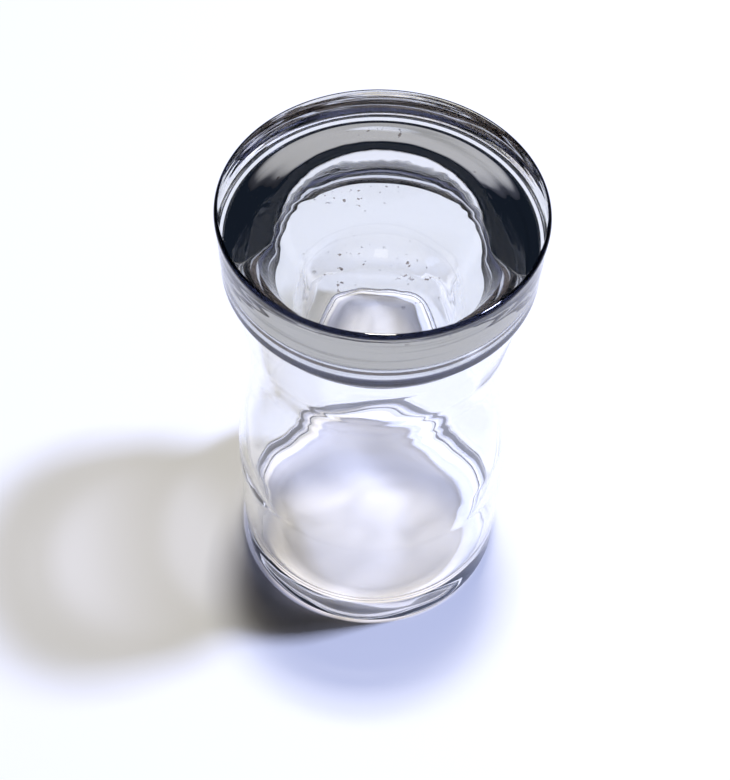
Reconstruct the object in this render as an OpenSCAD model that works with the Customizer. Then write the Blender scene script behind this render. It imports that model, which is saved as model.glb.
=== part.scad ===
// Lidded glass canister.
//
// A storage jar of clear glass with a straight lower body, a long waisted
// neck and a flared mouth, closed by a heavy pressed-glass lid. The lid is
// almost flat on top and hollowed below: a shallow dome over the middle turns
// into a steep cone that centres the lid. A translucent seal ring lies
// between the mouth and the cone.
//
// Sizes are in millimetres and angles in degrees. +Z is up, and the origin
// is the centre of the circle on which the jar stands.

/* [Jar] */

// Radius of the straight lower body.
body_radius = 44.5; // [43:0.5:47]
// Height of the mouth's top edge above the table.
jar_height = 136.6; // [134:0.2:146]
// Thickness of the side wall.
wall = 3; // [2.4:0.1:3.6]
// Height at which the straight body ends and the shoulder begins.
shoulder_height = 48; // [40:1:56]
// Part of the rise from body to waist that is taken by the shoulder's curve.
shoulder_part = 0.21; // [0.12:0.01:0.4]
// Height of the narrowest place.
waist_height = 102; // [96:1:106]
// Outer radius of the mouth.
rim_radius = 42.7; // [41.7:0.1:43]
// How much narrower the jar is at its narrowest place than at the mouth.
waist_depth = 4.4; // [3:0.2:6]
// Curve above the narrowest place: 0 is a sharp bend, 0.7 a long bow.
flare_part = 0.4; // [0.2:0.05:0.7]
// Radius of each rounded edge of the mouth.
rim_round = 1; // [0.6:0.1:1.2]
// Glass under the contents, at the middle of the base.
base_thickness = 5.5; // [4:0.5:8]
// Radius of the rounded corner between the base and the wall, inside.
inner_corner = 9; // [5:1:14]
// Radius of the rounded heel outside.
heel_round = 2; // [1.5:0.5:5]
// Width of the flat ring that the jar stands on.
foot_width = 5; // [3:0.5:8]
// Rise of the shallow dome under the base.
kick_height = 1.8; // [1:0.2:2.6]

/* [Lid] */

// Largest radius of the lid, at its top.
lid_radius = 45; // [44.5:0.5:48]
// Height of the lid's side.
lid_height = 22.4; // [22:0.2:26]
// Rise of the slightly crowned top over its middle.
crown = 0.8; // [0.4:0.1:1.2]
// How much narrower the lid is at the foot of its side.
lid_draft = 0.6; // [0:0.1:1]
// Radius of the rounded top edge.
top_round = 1.2; // [1:0.1:3]
// Radius of the rounded lower edge, outside.
lower_round = 1; // [0.6:0.1:1.2]
// Width of the flat lower edge inside that rounding.
edge_width = 0.2; // [0.2:0.1:0.6]
// Radius of the shallow dome over the middle, at its edge.
dome_radius = 22; // [20:0.5:24]
// Slope of the dome at its edge.
dome_slope = 15; // [8:1:20]
// Radius at which the curved corner ends and the straight cone begins.
cone_start = 30.5; // [29:0.5:32]
// Radius at which the cone ends and begins to roll out to the lid's edge.
cone_end = 39; // [37:0.5:40]
// Slope of the cone.
cone_slope = 40; // [39:1:43]
// Slope of the hollow where it meets the lid's edge.
edge_slope = 37; // [33:1:38]

/* [Seal ring] */

// Thickness of the ring's outer edge, between the mouth and the lid.
flange_thickness = 1.6; // [1.3:0.1:2.5]
// How far that edge stops short of the mouth's outer face.
flange_setback = 0.8; // [0.6:0.1:1.2]
// Depth of the skirt below the mouth's top edge.
skirt_depth = 4; // [3:0.5:6]
// Thickness of the skirt.
skirt_wall = 1.2; // [0.9:0.1:1.5]
// Reach of the fins from the skirt towards the mouth.
fin_reach = 0.9; // [0.6:0.1:1.2]
// Thickness of each fin.
fin_thickness = 0.6; // [0.5:0.1:0.8]
// Number of fins on the skirt.
fin_count = 2; // [1:1:3]
// Gap between the ring and the glass on either side of it.
seal_clearance = 0.3; // [0.2:0.05:0.4]

/* [Hidden] */

$fn = 128;

// The outline is built from arcs in steps of this many degrees at most.
arc_step = 5;

// Radius of an arc that starts upright and reaches out sideways over a rise.
function bow(rise, reach) = (rise * rise + reach * reach) / (2 * reach);

// Shoulder and neck: two arcs that touch and turn through the same angle, from
// the straight body in to the upright waist. Their radii add up to one bow.
waist_radius = rim_radius - waist_depth;
neck_rise = waist_height - shoulder_height;
neck_bow = bow(neck_rise, body_radius - waist_radius);
neck_turn = asin(neck_rise / neck_bow);
shoulder_curve = neck_bow * shoulder_part;
neck_curve = neck_bow - shoulder_curve;

// Flare: an arc out of the waist, then a straight cone that touches the
// rounded edge of the mouth.
lip_x = rim_radius - rim_round;
lip_z = jar_height - rim_round;
flare_rise = lip_z - waist_height;
flare_reach = lip_x - waist_radius;
flare_curve = bow(flare_rise, flare_reach) * flare_part;
flare_turn = atan(flare_rise / (flare_curve - flare_reach))
    - acos((flare_curve + rim_round) / norm([flare_rise, flare_curve - flare_reach]));

// Underside of the base.
foot_outer = body_radius - heel_round;
foot_inner = foot_outer - foot_width;
kick_curve = bow(foot_inner, kick_height);
kick_turn = asin(foot_inner / kick_curve);

// Inside of the jar.
floor_height = kick_height + base_thickness;
inner_lip_x = lip_x - (wall - 2 * rim_round) / cos(flare_turn);

// Radius of the mouth's inner face at a height.
function mouth_radius(z) =
    inner_lip_x - rim_round / cos(flare_turn) + (z - lip_z) * tan(flare_turn);

// Hollow of the lid, in heights above the lid's lower edge, from the outside
// in: the rolled edge, the straight cone, the corner and the dome.
foot_radius = lid_radius - lid_draft;
hollow_foot = foot_radius - lower_round - edge_width;
roll_curve = (hollow_foot - cone_end) / (sin(cone_slope) - sin(edge_slope));
roll_axis = hollow_foot + roll_curve * sin(edge_slope);
roll_lift = roll_curve * cos(edge_slope);
cone_foot = roll_lift - roll_curve * cos(cone_slope);
cone_top = cone_foot + (cone_end - cone_start) * tan(cone_slope);
corner_curve = (cone_start - dome_radius) / (sin(cone_slope) - sin(dome_slope));
corner_axis = cone_start - corner_curve * sin(cone_slope);
corner_lift = cone_top - corner_curve * cos(cone_slope);
dome_curve = dome_radius / sin(dome_slope);
dome_lift = corner_lift + (corner_curve - dome_curve) * cos(dome_slope);

// Height of the cone and of the rolled edge at a radius.
function hollow_height(r) = r < cone_end
    ? cone_foot + (cone_end - r) * tan(cone_slope)
    : roll_lift - sqrt(roll_curve * roll_curve - (roll_axis - r) * (roll_axis - r));

// The lid stands so that its hollow clears the ring's outer edge.
flange_radius = rim_radius - flange_setback;
lid_foot = jar_height + flange_thickness + seal_clearance - hollow_height(flange_radius);
lid_top = lid_foot + lid_height;
top_reach = lid_radius - top_round;
crown_curve = bow(top_reach, crown);
crown_turn = asin(top_reach / crown_curve);

// Seal ring. Its fins stop short of the mouth's inner face.
skirt_foot = jar_height - skirt_depth;
skirt_radius = mouth_radius(skirt_foot) - seal_clearance - fin_reach;
ring_bore = skirt_radius - skirt_wall;
fin_pitch = skirt_depth / (fin_count + 1);
crest_reach = flange_radius - skirt_radius;

// Points along an arc about [x, y], from one angle to another.
function arc(x, y, r, from, to) =
    let (steps = max(2, ceil(abs(to - from) / arc_step)))
    [for (i = [0 : steps])
        let (a = from + (to - from) * i / steps)
        [x + r * cos(a), y + r * sin(a)]];

// The side of the jar from the shoulder up to the flare, moved inward by an
// inset, so that the same curves serve the outer and the inner face.
function side_line(inset) = concat(
    arc(body_radius - shoulder_curve, shoulder_height,
        shoulder_curve - inset, 0, neck_turn),
    arc(waist_radius + neck_curve, waist_height,
        neck_curve + inset, 180 + neck_turn, 180),
    arc(waist_radius + flare_curve, waist_height,
        flare_curve + inset, 180, 180 - flare_turn));

// A list in the opposite order.
function reversed(list) = [for (i = [len(list) - 1 : -1 : 0]) list[i]];

// Jar: one closed outline turned about the axis.
module jar() {
    outer = concat(
        arc(0, kick_height - kick_curve, kick_curve, 90, 90 - kick_turn),
        arc(foot_outer, heel_round, heel_round, -90, 0),
        side_line(0),
        arc(lip_x, lip_z, rim_round, -flare_turn, 90));
    inner = concat(
        [[0, floor_height]],
        arc(body_radius - wall - inner_corner, floor_height + inner_corner,
            inner_corner, -90, 0),
        side_line(wall),
        arc(inner_lip_x, lip_z, rim_round, 180 - flare_turn, 90));
    color([0.86, 0.92, 0.92, 0.4])
        rotate_extrude() polygon(concat(outer, reversed(inner)));
}

// Lid: a thick disc with a drafted side, hollowed from below.
module lid() {
    hollow = concat(
        arc(0, lid_foot + dome_lift, dome_curve, 90, 90 - dome_slope),
        arc(corner_axis, lid_foot + corner_lift, corner_curve,
            90 - dome_slope, 90 - cone_slope),
        arc(roll_axis, lid_foot + roll_lift, roll_curve,
            270 - cone_slope, 270 - edge_slope));
    rest = concat(
        arc(foot_radius - lower_round, lid_foot + lower_round, lower_round, -90, 0),
        arc(top_reach, lid_top - top_round, top_round, 0, 90),
        arc(0, lid_top + crown - crown_curve, crown_curve, 90 - crown_turn, 90));
    color([0.72, 0.78, 0.77, 0.5])
        rotate_extrude() polygon(concat(hollow, rest));
}

// Seal ring: a wedge between the mouth and the lid's hollow, which its upper
// face follows, and a skirt with fins that face the mouth.
module seal_ring() {
    crest = [for (i = [0 : 4])
        let (r = skirt_radius + crest_reach * i / 4)
        [r, lid_foot + hollow_height(r) - seal_clearance]];
    color([0.9, 0.9, 0.86, 0.7])
        rotate_extrude() union() {
            polygon(concat(
                [[ring_bore, skirt_foot],
                 [skirt_radius, skirt_foot],
                 [skirt_radius, jar_height],
                 [flange_radius, jar_height]],
                reversed(crest),
                [[ring_bore, crest[0][1]]]));
            for (i = [0 : fin_count - 1])
                translate([skirt_radius, skirt_foot + i * fin_pitch])
                    square([fin_reach, fin_thickness]);
        }
}

jar();
lid();
seal_ring();
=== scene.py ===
"""Lidded glass canister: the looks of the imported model.

The three CAD solids are replaced by lathed meshes of the same outline with many more facets, because clear
glass shows every facet of the walls behind it. All lengths are in metres, in the frame of the CAD model.
"""
import math

import bpy
from mathutils import Matrix, Vector, noise


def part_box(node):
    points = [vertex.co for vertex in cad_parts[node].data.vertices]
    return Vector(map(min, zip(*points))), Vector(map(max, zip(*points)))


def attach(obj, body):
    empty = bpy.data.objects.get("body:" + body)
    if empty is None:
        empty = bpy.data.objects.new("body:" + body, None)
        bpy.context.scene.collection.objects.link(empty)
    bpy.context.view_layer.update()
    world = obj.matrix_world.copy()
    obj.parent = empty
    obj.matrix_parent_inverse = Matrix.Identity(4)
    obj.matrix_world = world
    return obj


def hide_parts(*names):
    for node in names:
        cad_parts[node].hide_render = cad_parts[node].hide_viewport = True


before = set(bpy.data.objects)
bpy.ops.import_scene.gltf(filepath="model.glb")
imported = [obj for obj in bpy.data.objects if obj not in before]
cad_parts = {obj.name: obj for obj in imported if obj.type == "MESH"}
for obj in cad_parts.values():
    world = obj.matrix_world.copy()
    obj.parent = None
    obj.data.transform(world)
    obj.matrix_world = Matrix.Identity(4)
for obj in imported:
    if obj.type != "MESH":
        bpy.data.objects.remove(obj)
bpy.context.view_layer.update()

MM = 0.001
TURN = 2 * math.pi
TINY = 1e-6
SEGMENTS = 256  # facets round the axis

jar_low, jar_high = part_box("jar")
lid_low, lid_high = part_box("lid")
ring_low, ring_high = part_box("seal_ring")


# ---------------------------------------------------------------- outlines

def arc(x, z, radius, start, end, step):
    """Points along an arc about (x, z). The angles and the step between points are in degrees."""
    count = max(3, math.ceil(abs(end - start) / step))
    angles = [math.radians(start + (end - start) * i / count) for i in range(count + 1)]
    return [(x + radius * math.cos(a), z + radius * math.sin(a)) for a in angles]


def straight(start, end, count):
    """Points along a straight line, both ends included."""
    return [(start[0] + (end[0] - start[0]) * i / count, start[1] + (end[1] - start[1]) * i / count)
            for i in range(count + 1)]


def joined(*parts):
    """One outline from several, without repeated points."""
    points = []
    for part in parts:
        for point in part:
            if not points or math.dist(point, points[-1]) > TINY:
                points.append(point)
    return points


def bow(rise, reach):
    """Radius of an arc that starts upright and reaches out sideways over a rise."""
    return (rise * rise + reach * reach) / (2 * reach)


def sloping_line(stops, count=16):
    """Points from the axis outward through stops of (radius, slope in degrees). Each stretch runs on from
    the one before, as an arc or, where the slope stays the same, as a straight line. The last point has
    height 0."""
    points = [(0.0, 0.0)]
    slope = 0.0
    for radius, end_slope in stops:
        r0, z0 = points[-1]
        a, b = math.radians(slope), math.radians(end_slope)
        if abs(b - a) < TINY:
            points += straight((r0, z0), (radius, z0 - (radius - r0) * math.tan(a)), count)[1:]
        else:
            curve = (radius - r0) / (math.sin(b) - math.sin(a))
            turns = [a + (b - a) * i / count for i in range(1, count + 1)]
            points += [(r0 + curve * (math.sin(t) - math.sin(a)), z0 + curve * (math.cos(t) - math.cos(a)))
                       for t in turns]
        slope = end_slope
    return [(r, z - points[-1][1]) for r, z in points]


# Jar, from the same sizes as the CAD model.
body_radius = (jar_high.x - jar_low.x) / 2
jar_height = jar_high.z
wall = 3 * MM
shoulder_height = 48 * MM
waist_height = 102 * MM
rim_radius = 42.7 * MM
rim_round = 1 * MM
waist_depth = 4.4 * MM
inner_corner = 9 * MM
heel_round = 2 * MM
foot_width = 5 * MM
kick_height = 1.8 * MM
base_thickness = 5.5 * MM
shoulder_part = 0.21  # share of the neck's bow that the shoulder bends with
flare_part = 0.4  # share of the flare's bow that the flare bends with

waist_radius = rim_radius - waist_depth
neck_rise = waist_height - shoulder_height
neck_bow = bow(neck_rise, body_radius - waist_radius)
neck_turn = math.degrees(math.asin(neck_rise / neck_bow))
shoulder_curve = neck_bow * shoulder_part
neck_curve = neck_bow - shoulder_curve
lip_x = rim_radius - rim_round
lip_z = jar_height - rim_round
flare_rise = lip_z - waist_height
flare_reach = lip_x - waist_radius
flare_curve = bow(flare_rise, flare_reach) * flare_part
flare_span = math.hypot(flare_rise, flare_curve - flare_reach)
flare_turn = math.degrees(math.atan(flare_rise / (flare_curve - flare_reach))
                          - math.acos((flare_curve + rim_round) / flare_span))
floor_height = kick_height + base_thickness
inner_lip_x = lip_x - (wall - 2 * rim_round) / math.cos(math.radians(flare_turn))
foot_outer = body_radius - heel_round
foot_inner = foot_outer - foot_width
kick_curve = bow(foot_inner, kick_height)
kick_turn = math.degrees(math.asin(foot_inner / kick_curve))


def mouth_radius(z):
    """Radius of the mouth's leaning inner wall at a height."""
    lean = math.radians(flare_turn)
    return inner_lip_x - rim_round / math.cos(lean) + (z - lip_z) * math.tan(lean)


def side_line(inset):
    """Shoulder, neck and flare, moved into the glass by an inset."""
    return joined(
        arc(body_radius - shoulder_curve, shoulder_height, shoulder_curve - inset, 0, neck_turn, step=1),
        arc(waist_radius + neck_curve, waist_height, neck_curve + inset, 180 + neck_turn, 180, step=0.5),
        arc(waist_radius + flare_curve, waist_height, flare_curve + inset, 180, 180 - flare_turn, step=0.7))


def with_lip(line, lip):
    """A side line that runs on straight into the rounded lip."""
    return joined(line, straight(line[-1], lip[0], count=16), lip)


JAR_OUTER = joined(
    arc(0, kick_height - kick_curve, kick_curve, 90, 90 - kick_turn, step=0.5),
    arc(foot_outer, heel_round, heel_round, -90, 0, step=5),
    straight((body_radius, heel_round), (body_radius, shoulder_height), count=16),
    with_lip(side_line(0), arc(lip_x, lip_z, rim_round, -flare_turn, 90, step=8)))
inner_radius = body_radius - wall
corner_x = inner_radius - inner_corner
corner_z = floor_height + inner_corner
base_rings = [(r * MM, floor_height) for r in range(0, 32, 4)]
JAR_INNER = joined(
    base_rings,
    arc(corner_x, corner_z, inner_corner, -90, 0, step=4),
    straight((inner_radius, corner_z), (inner_radius, shoulder_height), count=14),
    with_lip(side_line(wall), arc(inner_lip_x, lip_z, rim_round, 180 - flare_turn, 90, step=8)))

# Lid, from the same sizes as the CAD model.
crown = 0.8 * MM
lid_draft = 0.6 * MM
top_round = 1.2 * MM
lower_round = 1 * MM
edge_width = 0.2 * MM
dome_radius = 22 * MM
dome_slope = 15.0
cone_start = 30.5 * MM
cone_end = 39 * MM
cone_slope = 40.0
edge_slope = 37.0

lid_radius = (lid_high.x - lid_low.x) / 2
lid_foot = lid_low.z
lid_top = lid_high.z - crown
foot_radius = lid_radius - lid_draft
hollow_foot = foot_radius - lower_round - edge_width
top_reach = lid_radius - top_round
crown_curve = bow(top_reach, crown)
crown_turn = math.degrees(math.asin(top_reach / crown_curve))

LID_HOLLOW = [(r, z + lid_foot) for r, z in sloping_line(
    [(dome_radius, dome_slope), (cone_start, cone_slope), (cone_end, cone_slope),
     (hollow_foot, edge_slope)])]
LID_REST = joined(
    arc(foot_radius - lower_round, lid_foot + lower_round, lower_round, -90, 0, step=8),
    straight((foot_radius, lid_foot + lower_round), (lid_radius, lid_top - top_round), count=30),
    arc(top_reach, lid_top - top_round, top_round, 0, 90, step=5),
    arc(0, lid_top + crown - crown_curve, crown_curve, 90 - crown_turn, 90, step=0.15))


def hollow_height(radius):
    """Height of the lid's hollow underside at a radius."""
    for (r0, z0), (r1, z1) in zip(LID_HOLLOW, LID_HOLLOW[1:]):
        if r0 <= radius <= r1:
            return z0 + (z1 - z0) * (radius - r0) / (r1 - r0)


# Seal ring, from the same sizes as the CAD model.
seal_clearance = 0.3 * MM
skirt_wall = 1.2 * MM
fin_reach = 0.9 * MM
fin_thickness = 0.6 * MM
fin_count = 2

skirt_foot = ring_low.z
flange_radius = (ring_high.x - ring_low.x) / 2
skirt_radius = mouth_radius(skirt_foot) - seal_clearance - fin_reach
ring_bore = skirt_radius - skirt_wall
fin_pitch = (jar_height - skirt_foot) / (fin_count + 1)


def ring_outline(top_steps=4):
    """The ring's bore, its fins, and a flange whose top follows the lid's hollow."""
    points = [(ring_bore, skirt_foot)]
    fin_tip = skirt_radius + fin_reach
    for k in range(fin_count):
        low, high = skirt_foot + k * fin_pitch, skirt_foot + k * fin_pitch + fin_thickness
        points += [(skirt_radius, low), (fin_tip, low), (fin_tip, high), (skirt_radius, high)]
    points += [(skirt_radius, jar_height), (flange_radius, jar_height)]
    for k in range(top_steps, -1, -1):
        r = skirt_radius + (flange_radius - skirt_radius) * k / top_steps
        points.append((r, hollow_height(r) - seal_clearance))
    points.append((ring_bore, hollow_height(skirt_radius) - seal_clearance))
    return joined(points)


# ---------------------------------------------------------------- meshes

def lathe(name, outline, closed=False, shift=None, sharp=None):
    """A mesh turned about the Z axis, from an outline that runs with the solid on its left. A shift moves
    each point, and edges above the sharp angle, in degrees, stay crisp."""
    verts, rings, faces = [], [], []
    for r, z in outline:
        if r < TINY:
            rings.append([len(verts)])
            verts.append((0.0, 0.0, z))
            continue
        ring = []
        for k in range(SEGMENTS):
            a = TURN * k / SEGMENTS
            p = Vector((r * math.cos(a), r * math.sin(a), z))
            if shift:
                p = shift(p, r, a, z)
            ring.append(len(verts))
            verts.append(tuple(p))
        rings.append(ring)
    pairs = list(zip(rings, rings[1:]))
    if closed:
        pairs.append((rings[-1], rings[0]))
    for low, high in pairs:
        for k in range(SEGMENTS):
            j = (k + 1) % SEGMENTS
            if len(low) == 1:
                faces.append((low[0], high[j], high[k]))
            elif len(high) == 1:
                faces.append((low[k], low[j], high[0]))
            else:
                faces.append((low[k], low[j], high[j], high[k]))
    mesh = bpy.data.meshes.new(name)
    mesh.from_pydata(verts, [], faces)
    mesh.update()
    mesh.shade_smooth()
    if sharp:
        mesh.set_sharp_from_angle(angle=math.radians(sharp))
    piece = bpy.data.objects.new(name, mesh)
    bpy.context.scene.collection.objects.link(piece)
    return piece


def fade(value, start, end):
    """0 before start, 1 after end, smooth between."""
    t = min(max((value - start) / (end - start), 0.0), 1.0)
    return t * t * (3 - 2 * t)


def inner_limit(z):
    """Radius halfway through the jar's wall at a height."""
    for (r0, z0), (r1, z1) in zip(JAR_OUTER, JAR_OUTER[1:]):
        if z0 <= z <= z1:
            return (r0 + (r1 - r0) * (z - z0) / max(z1 - z0, TINY)) - wall / 2
    return 0.0


def noise_round(a, turns, along, length, offset=0):
    """Noise round the axis: the turns set how fast it changes with the angle, the length how fast it changes
    along a height or a radius."""
    return noise.noise(Vector((math.cos(a) * turns + offset, math.sin(a) * turns, along / length)))


def noise_across(p, length, layer):
    """Noise over a level surface, from one of many layers."""
    return noise.noise(Vector((p.x / length, p.y / length, layer)))


def drawn_in(p, r, push, z):
    """A point moved towards the axis by a push, at a new height."""
    return Vector((p.x * (1 - push / r), p.y * (1 - push / r), z))


# How far the glass strays from the outlines, and how far under the lip it is smooth again.
WALL_SWELL = 0.14 * MM
WALL_RIPPLE = 0.04 * MM
WAIST_EXTRA = 0.5 * MM
WAIST_SWELL = 0.08 * MM
BASE_SWELL = 0.25 * MM
SIDE_DENT = 0.08 * MM
CHILL_HEIGHT = 0.06 * MM
DOME_SWELL = 0.08 * MM
SMOOTH_LIP = 8 * MM


def jar_waves(p, r, a, z):
    """Blown glass: the inner face is uneven by a few tenths of a millimetre and the wall a little thicker at
    the waist, while the outer face keeps its size."""
    if r > inner_limit(z) or not floor_height - 0.1 * MM < z < lip_z - SMOOTH_LIP:
        return p
    wall_part = fade(r, 20 * MM, 36 * MM) * fade(z, floor_height - 1 * MM, floor_height + 6 * MM)
    waist_part = (fade(z, waist_height - 42 * MM, waist_height - 10 * MM)
                  * (1 - fade(z, waist_height - 4 * MM, waist_height + 12 * MM)))
    swell = noise_round(a, 1.3, z, 38 * MM)
    ripple = noise_round(a, 4, z, 13 * MM, offset=7)
    push = (wall_part * (WALL_SWELL * swell + WALL_RIPPLE * ripple)
            + waist_part * (WAIST_EXTRA + WAIST_SWELL * swell))
    lift = (1 - wall_part) * BASE_SWELL * noise_across(p, 14 * MM, layer=3.0)
    return drawn_in(p, r, push, z + lift)


def lid_waves(p, r, a, z):
    """Pressed glass: faint rings round the side, and on the hollow chill ripples round the corner and a
    slight swell across the dome."""
    if r > lid_radius - 1.2 * MM and lid_foot + 2 * MM < z < lid_top - 2 * MM:
        return drawn_in(p, r, SIDE_DENT * (1 + noise_round(a, 1, z, 1.9 * MM)), z)
    if z < lid_top - 3 * MM and r < cone_end:
        outside_dome = fade(r, 17 * MM, 22 * MM)
        corner = outside_dome * (1 - fade(r, 31 * MM, 34 * MM))
        chill = CHILL_HEIGHT * noise_round(a, 9, r, 5 * MM)
        swell = DOME_SWELL * noise_across(p, 12 * MM, layer=0.5)
        return Vector((p.x, p.y, z + corner * chill + (1 - outside_dome) * swell))
    return p


jar_piece = lathe("jar_glass_body", joined(JAR_OUTER, list(reversed(JAR_INNER))), shift=jar_waves)
lid_piece = lathe("lid_glass_disc", joined(LID_HOLLOW, LID_REST), shift=lid_waves)
ring_piece = lathe("seal_ring_clear", ring_outline(), closed=True, sharp=40)

pieces = ((jar_piece, "jar", "jar"), (lid_piece, "lid", "lid"), (ring_piece, "seal_ring", "seal"))
for piece, node, body in pieces:
    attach(piece, body)
    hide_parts(node)


# ---------------------------------------------------------------- shader nodes

def shader_node(material, kind, **settings):
    node = material.node_tree.nodes.new("ShaderNode" + kind)
    for name, value in settings.items():
        setattr(node, name, value)
    return node


def feed(material, socket, value):
    """Links an output to an input, or sets the input to a constant."""
    if isinstance(value, bpy.types.NodeSocket):
        material.node_tree.links.new(value, socket)
    elif socket.type == "RGBA":
        socket.default_value = (*value, 1)
    else:
        socket.default_value = value


def maths(material, operation, first, second):
    node = shader_node(material, "Math", operation=operation)
    feed(material, node.inputs[0], first)
    feed(material, node.inputs[1], second)
    return node.outputs["Value"]


def vector_maths(material, operation, first, second=None, second_input=1, result="Vector"):
    node = shader_node(material, "VectorMath", operation=operation)
    feed(material, node.inputs[0], first)
    if second is not None:
        feed(material, node.inputs[second_input], second)
    return node.outputs[result]


def mapped(material, source, start, end, low=0.0, high=1.0, smooth=False):
    """A value that runs from low to high while the source runs from start to end, and stops there."""
    node = shader_node(material, "MapRange", interpolation_type="SMOOTHSTEP" if smooth else "LINEAR")
    feed(material, node.inputs["Value"], source)
    for name, value in (("From Min", start), ("From Max", end), ("To Min", low), ("To Max", high)):
        feed(material, node.inputs[name], value)
    return node.outputs["Result"]


def mixed(material, share, below, above):
    """One colour over another by a share."""
    node = shader_node(material, "Mix", data_type="RGBA")
    feed(material, node.inputs["Factor"], share)
    feed(material, node.inputs["A"], below)
    feed(material, node.inputs["B"], above)
    return node.outputs["Result"]


def noise_texture(material, place, scale, detail, distortion=0.0):
    node = shader_node(material, "TexNoise")
    feed(material, node.inputs["Vector"], place)
    feed(material, node.inputs["Scale"], scale)
    feed(material, node.inputs["Detail"], detail)
    feed(material, node.inputs["Distortion"], distortion)
    return node.outputs["Fac"]


def object_place(material):
    return shader_node(material, "TexCoord").outputs["Object"]


def parted(material, vector):
    """The X, Y and Z outputs of a vector."""
    node = shader_node(material, "SeparateXYZ")
    feed(material, node.inputs["Vector"], vector)
    return node.outputs


def length_of(material, vector):
    return vector_maths(material, "LENGTH", vector, result="Value")


def axis_distance(material, place):
    return length_of(material, vector_maths(material, "MULTIPLY", place, (1, 1, 0)))


def base_colour(material):
    return material.node_tree.nodes["Principled BSDF"].inputs["Base Color"]


# ---------------------------------------------------------------- materials

def principled(name, colour, roughness):
    material = bpy.data.materials.new(name)
    material.use_nodes = True
    feed(material, base_colour(material), colour)
    feed(material, material.node_tree.nodes["Principled BSDF"].inputs["Roughness"], roughness)
    return material


def glass(name, tint, shade, block, slants, roughness=0.0, ior=1.52):
    """Clear or smoky glass. Lamps shine straight through it instead of being bent, tinted by the shade where
    they meet it squarely and by the block colour where they graze it."""
    material = principled(name, tint, roughness)
    nodes = material.node_tree.nodes
    shader = nodes["Principled BSDF"]
    feed(material, shader.inputs["IOR"], ior)
    feed(material, shader.inputs["Transmission Weight"], 1.0)
    slant = shader_node(material, "LayerWeight")
    feed(material, slant.inputs["Blend"], 0.5)
    grazing = mapped(material, slant.outputs["Facing"], *slants)
    clear = shader_node(material, "BsdfTransparent", name="through")
    feed(material, clear.inputs["Color"], mixed(material, grazing, shade, block))
    either = shader_node(material, "MixShader")
    feed(material, either.inputs["Fac"], shader_node(material, "LightPath").outputs["Is Shadow Ray"])
    feed(material, either.inputs[1], shader.outputs["BSDF"])
    feed(material, either.inputs[2], clear.outputs["BSDF"])
    feed(material, nodes["Material Output"].inputs["Surface"], either.outputs["Shader"])
    return material


def gathered_light(material, front, back, rim):
    """Light leaves the underside of a thick base gathered and a little uneven, by one factor at the front
    and another at the back, and times a third at the rim."""
    through = material.node_tree.nodes["through"].inputs["Color"]
    shade = through.links[0].from_socket
    place = object_place(material)
    parts = parted(material, place)
    streaks = noise_texture(material, place, scale=34, detail=1, distortion=1.2)
    along = mapped(material, parts["Y"], -5 * MM, 30 * MM, front, back)
    uneven = mapped(material, streaks, 0.3, 0.7, 0.84, 1.16)
    near_rim = mapped(material, axis_distance(material, place), 32 * MM, 40 * MM, 1, rim)
    below = mapped(material, parts["Z"], kick_height, kick_height + 0.1 * MM, 1, 0)
    strength = maths(material, "MULTIPLY", maths(material, "MULTIPLY", along, uneven), near_rim)
    gathered = vector_maths(material, "SCALE", shade, strength, second_input="Scale")
    feed(material, through, mixed(material, below, shade, gathered))


def ring_colours(material, foot_shade, bands):
    """Colours the ring: painted shade, nearly black, on the skirt's foot, and the rest in bands of (start,
    end, colour), as shares of the way from the skirt to the flange's edge. The pale bands are painted
    highlights and the brown and navy bands are painted dark lines."""
    place = object_place(material)
    across = mapped(material, axis_distance(material, place), skirt_radius, flange_radius)
    above = mapped(material, parted(material, place)["Z"], skirt_foot + 1.1 * MM, skirt_foot + 1.4 * MM)
    ramp = shader_node(material, "ValToRGB")
    feed(material, ramp.inputs["Fac"], across)
    elements = ramp.color_ramp.elements
    stops = [(position, colour) for start, end, colour in bands for position in (start, end)]
    elements[0].position, elements[-1].position = stops[0][0], stops[-1][0]
    elements[0].color, elements[-1].color = (*stops[0][1], 1), (*stops[-1][1], 1)
    for position, colour in stops[1:-1]:
        elements.new(position).color = (*colour, 1)
    # Painted shade: the skirt's foot is coloured nearly black.
    feed(material, base_colour(material), mixed(material, above, foot_shade, ramp.outputs["Color"]))


def lid_marks_and_painted_edge(material, tint):
    """Painted shade on the rounded top edge, coloured nearly black where thick glass looks dark, faint level
    streaks round the side, and a scatter of small dust specks."""
    def rising(source, start, end):
        return mapped(material, source, start, end, smooth=True)

    place = object_place(material)
    reach = axis_distance(material, place)
    height = parted(material, place)["Z"]
    grains = rising(noise_texture(material, place, scale=620, detail=2), 0.66, 0.7)
    patches = rising(noise_texture(material, place, scale=45, detail=3), 0.49, 0.57)
    on_dome = rising(reach, cone_start + 1 * MM, cone_start - 1 * MM)
    specks = maths(material, "MULTIPLY", maths(material, "MULTIPLY", grains, patches), on_dome)
    squashed = vector_maths(material, "MULTIPLY", place, (14, 14, 420))
    lines = rising(noise_texture(material, squashed, scale=1, detail=3), 0.5, 0.75)
    on_side = rising(reach, lid_radius - 1.4 * MM, lid_radius - 0.8 * MM)
    streaks = maths(material, "MULTIPLY", lines, on_side)
    # Painted shade: the rounded top edge is coloured nearly black, where thick glass looks dark.
    edge = maths(material, "MULTIPLY", rising(reach, top_reach - 0.1 * MM, top_reach + 0.2 * MM),
                 rising(height, lid_top - top_round - 0.3 * MM, lid_top - top_round))
    colour = mixed(material, specks, tint, (0.12, 0.09, 0.07))
    colour = mixed(material, streaks, colour, (0.36, 0.37, 0.34))
    # The nearly black colour of the painted shade on the top edge.
    feed(material, base_colour(material), mixed(material, edge, colour, (0.0003, 0.0004, 0.0015)))


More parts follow.
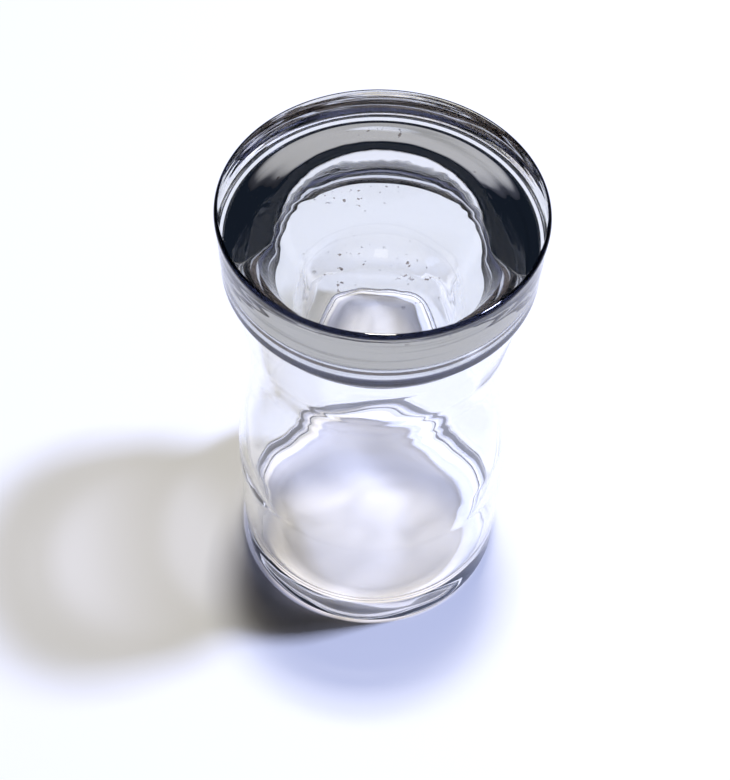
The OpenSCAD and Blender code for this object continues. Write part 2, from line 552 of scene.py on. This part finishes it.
smoky = (0.86, 0.865, 0.82)
nearly_black = (0.03, 0.03, 0.03)
early_grazing = (0.2, 0.62)
# Brown and navy colour the ring's painted dark lines.
brown = (0.03, 0.02, 0.015)
navy = (0.006, 0.007, 0.02)

jar_glass = glass("jar_glass", tint=(0.98, 0.99, 0.99), shade=(0.97, 0.96, 0.95), block=(0.29, 0.28, 0.27),
                  slants=(0.32, 0.82))
gathered_light(jar_glass, front=1.35, back=2.15, rim=2.3)
lid_glass = glass("lid_glass", smoky, shade=(0.79, 0.77, 0.73), block=nearly_black, slants=early_grazing)
lid_marks_and_painted_edge(lid_glass, smoky)
seal_plastic = glass("seal_plastic", tint=(0.6, 0.57, 0.54), shade=(0.8, 0.78, 0.76), block=nearly_black,
                     slants=early_grazing, roughness=0.12, ior=1.45)
# The ring's nearly black foot is painted shade. Its pale bands are painted highlights, and its brown and
# navy bands are painted dark lines.
ring_colours(seal_plastic, foot_shade=(0.012, 0.008, 0.006), bands=[
    (0.0, 0.1, (0.86, 0.87, 0.92)), (0.15, 0.35, brown), (0.42, 0.64, (0.9, 0.91, 0.94)), (0.74, 1.0, navy)])
jar_piece.data.materials.append(jar_glass)
lid_piece.data.materials.append(lid_glass)
ring_piece.data.materials.append(seal_plastic)


# ---------------------------------------------------------------- stage

def disc(name, radius, z, segments=96):
    mesh = bpy.data.meshes.new(name)
    angles = [TURN * k / segments for k in range(segments)]
    mesh.from_pydata([(radius * math.cos(a), radius * math.sin(a), z) for a in angles], [],
                     [tuple(range(segments))])
    piece = bpy.data.objects.new(name, mesh)
    bpy.context.scene.collection.objects.link(piece)
    return piece


def sheet_colour(material, inside, outside, far, low, high, soft_edge, reach):
    """Colours a level surface: one colour inside the rectangle from low to high, another beyond its soft
    edge, and from there to a third over the reach of distances."""
    position = shader_node(material, "NewGeometry").outputs["Position"]
    centre = ((low[0] + high[0]) / 2, (low[1] + high[1]) / 2, 0)
    half = ((high[0] - low[0]) / 2, (high[1] - low[1]) / 2, 1)
    folded = vector_maths(material, "ABSOLUTE", vector_maths(material, "SUBTRACT", position, centre))
    beyond = parted(material, vector_maths(material, "SUBTRACT", folded, half))
    farther = maths(material, "MAXIMUM", beyond["X"], beyond["Y"])
    away = mapped(material, length_of(material, position), *reach, smooth=True)
    off_sheet = mapped(material, farther, 0.0, soft_edge, smooth=True)
    around = mixed(material, away, outside, far)
    feed(material, base_colour(material), mixed(material, off_sheet, inside, around))


# The floor is white on a sheet round the jar. Beyond the sheet's soft edge it is grey, partly the sheet's
# end and partly painted shade where the lamps' light falls off, and far off it darkens further as painted
# shade.
white = (0.98, 0.98, 0.98)
grey = (0.53, 0.51, 0.46)
dark = (0.06, 0.06, 0.065)
floor = disc("floor", radius=3.0, z=-0.0002)
floor_paint = principled("pale_floor", white, roughness=0.8)
sheet_colour(floor_paint, white, grey, dark, low=(-0.205, -0.2), high=(0.19, 0.302), soft_edge=0.016,
             reach=(0.6, 1.6))
floor.data.materials.append(floor_paint)

world = bpy.data.worlds.new("studio")
bpy.context.scene.world = world
world.use_nodes = True
world.node_tree.nodes["Background"].inputs["Color"].default_value = (0.008, 0.012, 0.022, 1)


def facing(place, target):
    """Rotation that turns a lamp at a place towards a target."""
    return (Vector(target) - Vector(place)).to_track_quat("-Z", "Y").to_euler()


def soft_lamp(name, place, size, power, colour):
    data = bpy.data.lights.new(name, "AREA")
    data.size = size
    data.energy = power
    data.color = colour
    lamp = bpy.data.objects.new(name, data)
    lamp.location = place
    lamp.rotation_euler = facing(place, (0, 0, 0.06))
    bpy.context.scene.collection.objects.link(lamp)


soft_lamp("right_lamp", place=(1.5, 0.38, 2.7), size=0.3, power=87, colour=(0.58, 0.65, 1.0))
soft_lamp("back_lamp", place=(0.02, 0.34, 2.2), size=0.2, power=28, colour=(1.0, 0.96, 0.88))


# ---------------------------------------------------------------- camera

camera_data = bpy.data.cameras.new("camera")
camera_data.sensor_width = 36
camera_data.lens = 62.3
camera = bpy.data.objects.new("camera", camera_data)
camera_place = (0, -0.2488, 0.4229)
pitch, yaw, roll = math.radians(54.48), math.radians(-0.73), math.radians(1.87)
forward = Vector((math.sin(yaw) * math.cos(pitch), math.cos(yaw) * math.cos(pitch), -math.sin(pitch)))
level = Vector((math.cos(yaw), -math.sin(yaw), 0))
steep = level.cross(forward)
across = math.cos(roll) * level + math.sin(roll) * steep
upward = -math.sin(roll) * level + math.cos(roll) * steep
rotation = Matrix((across, upward, -forward)).transposed()
camera.matrix_world = Matrix.Translation(camera_place) @ rotation.to_4x4()
bpy.context.scene.collection.objects.link(camera)
bpy.context.scene.camera = camera
bpy.context.scene.view_settings.view_transform = "Standard"

# Light bounces many times inside thick glass, and a short path would end black. The light that the glass
# gathers on the table comes from the shade colours alone, so caustics are off.
LONGEST_PATH = 24
paths = bpy.context.scene.cycles
paths.caustics_refractive = False
paths.caustics_reflective = False
paths.sample_clamp_indirect = 2
paths.max_bounces = LONGEST_PATH
paths.transmission_bounces = LONGEST_PATH
paths.glossy_bounces = LONGEST_PATH
paths.transparent_max_bounces = LONGEST_PATH
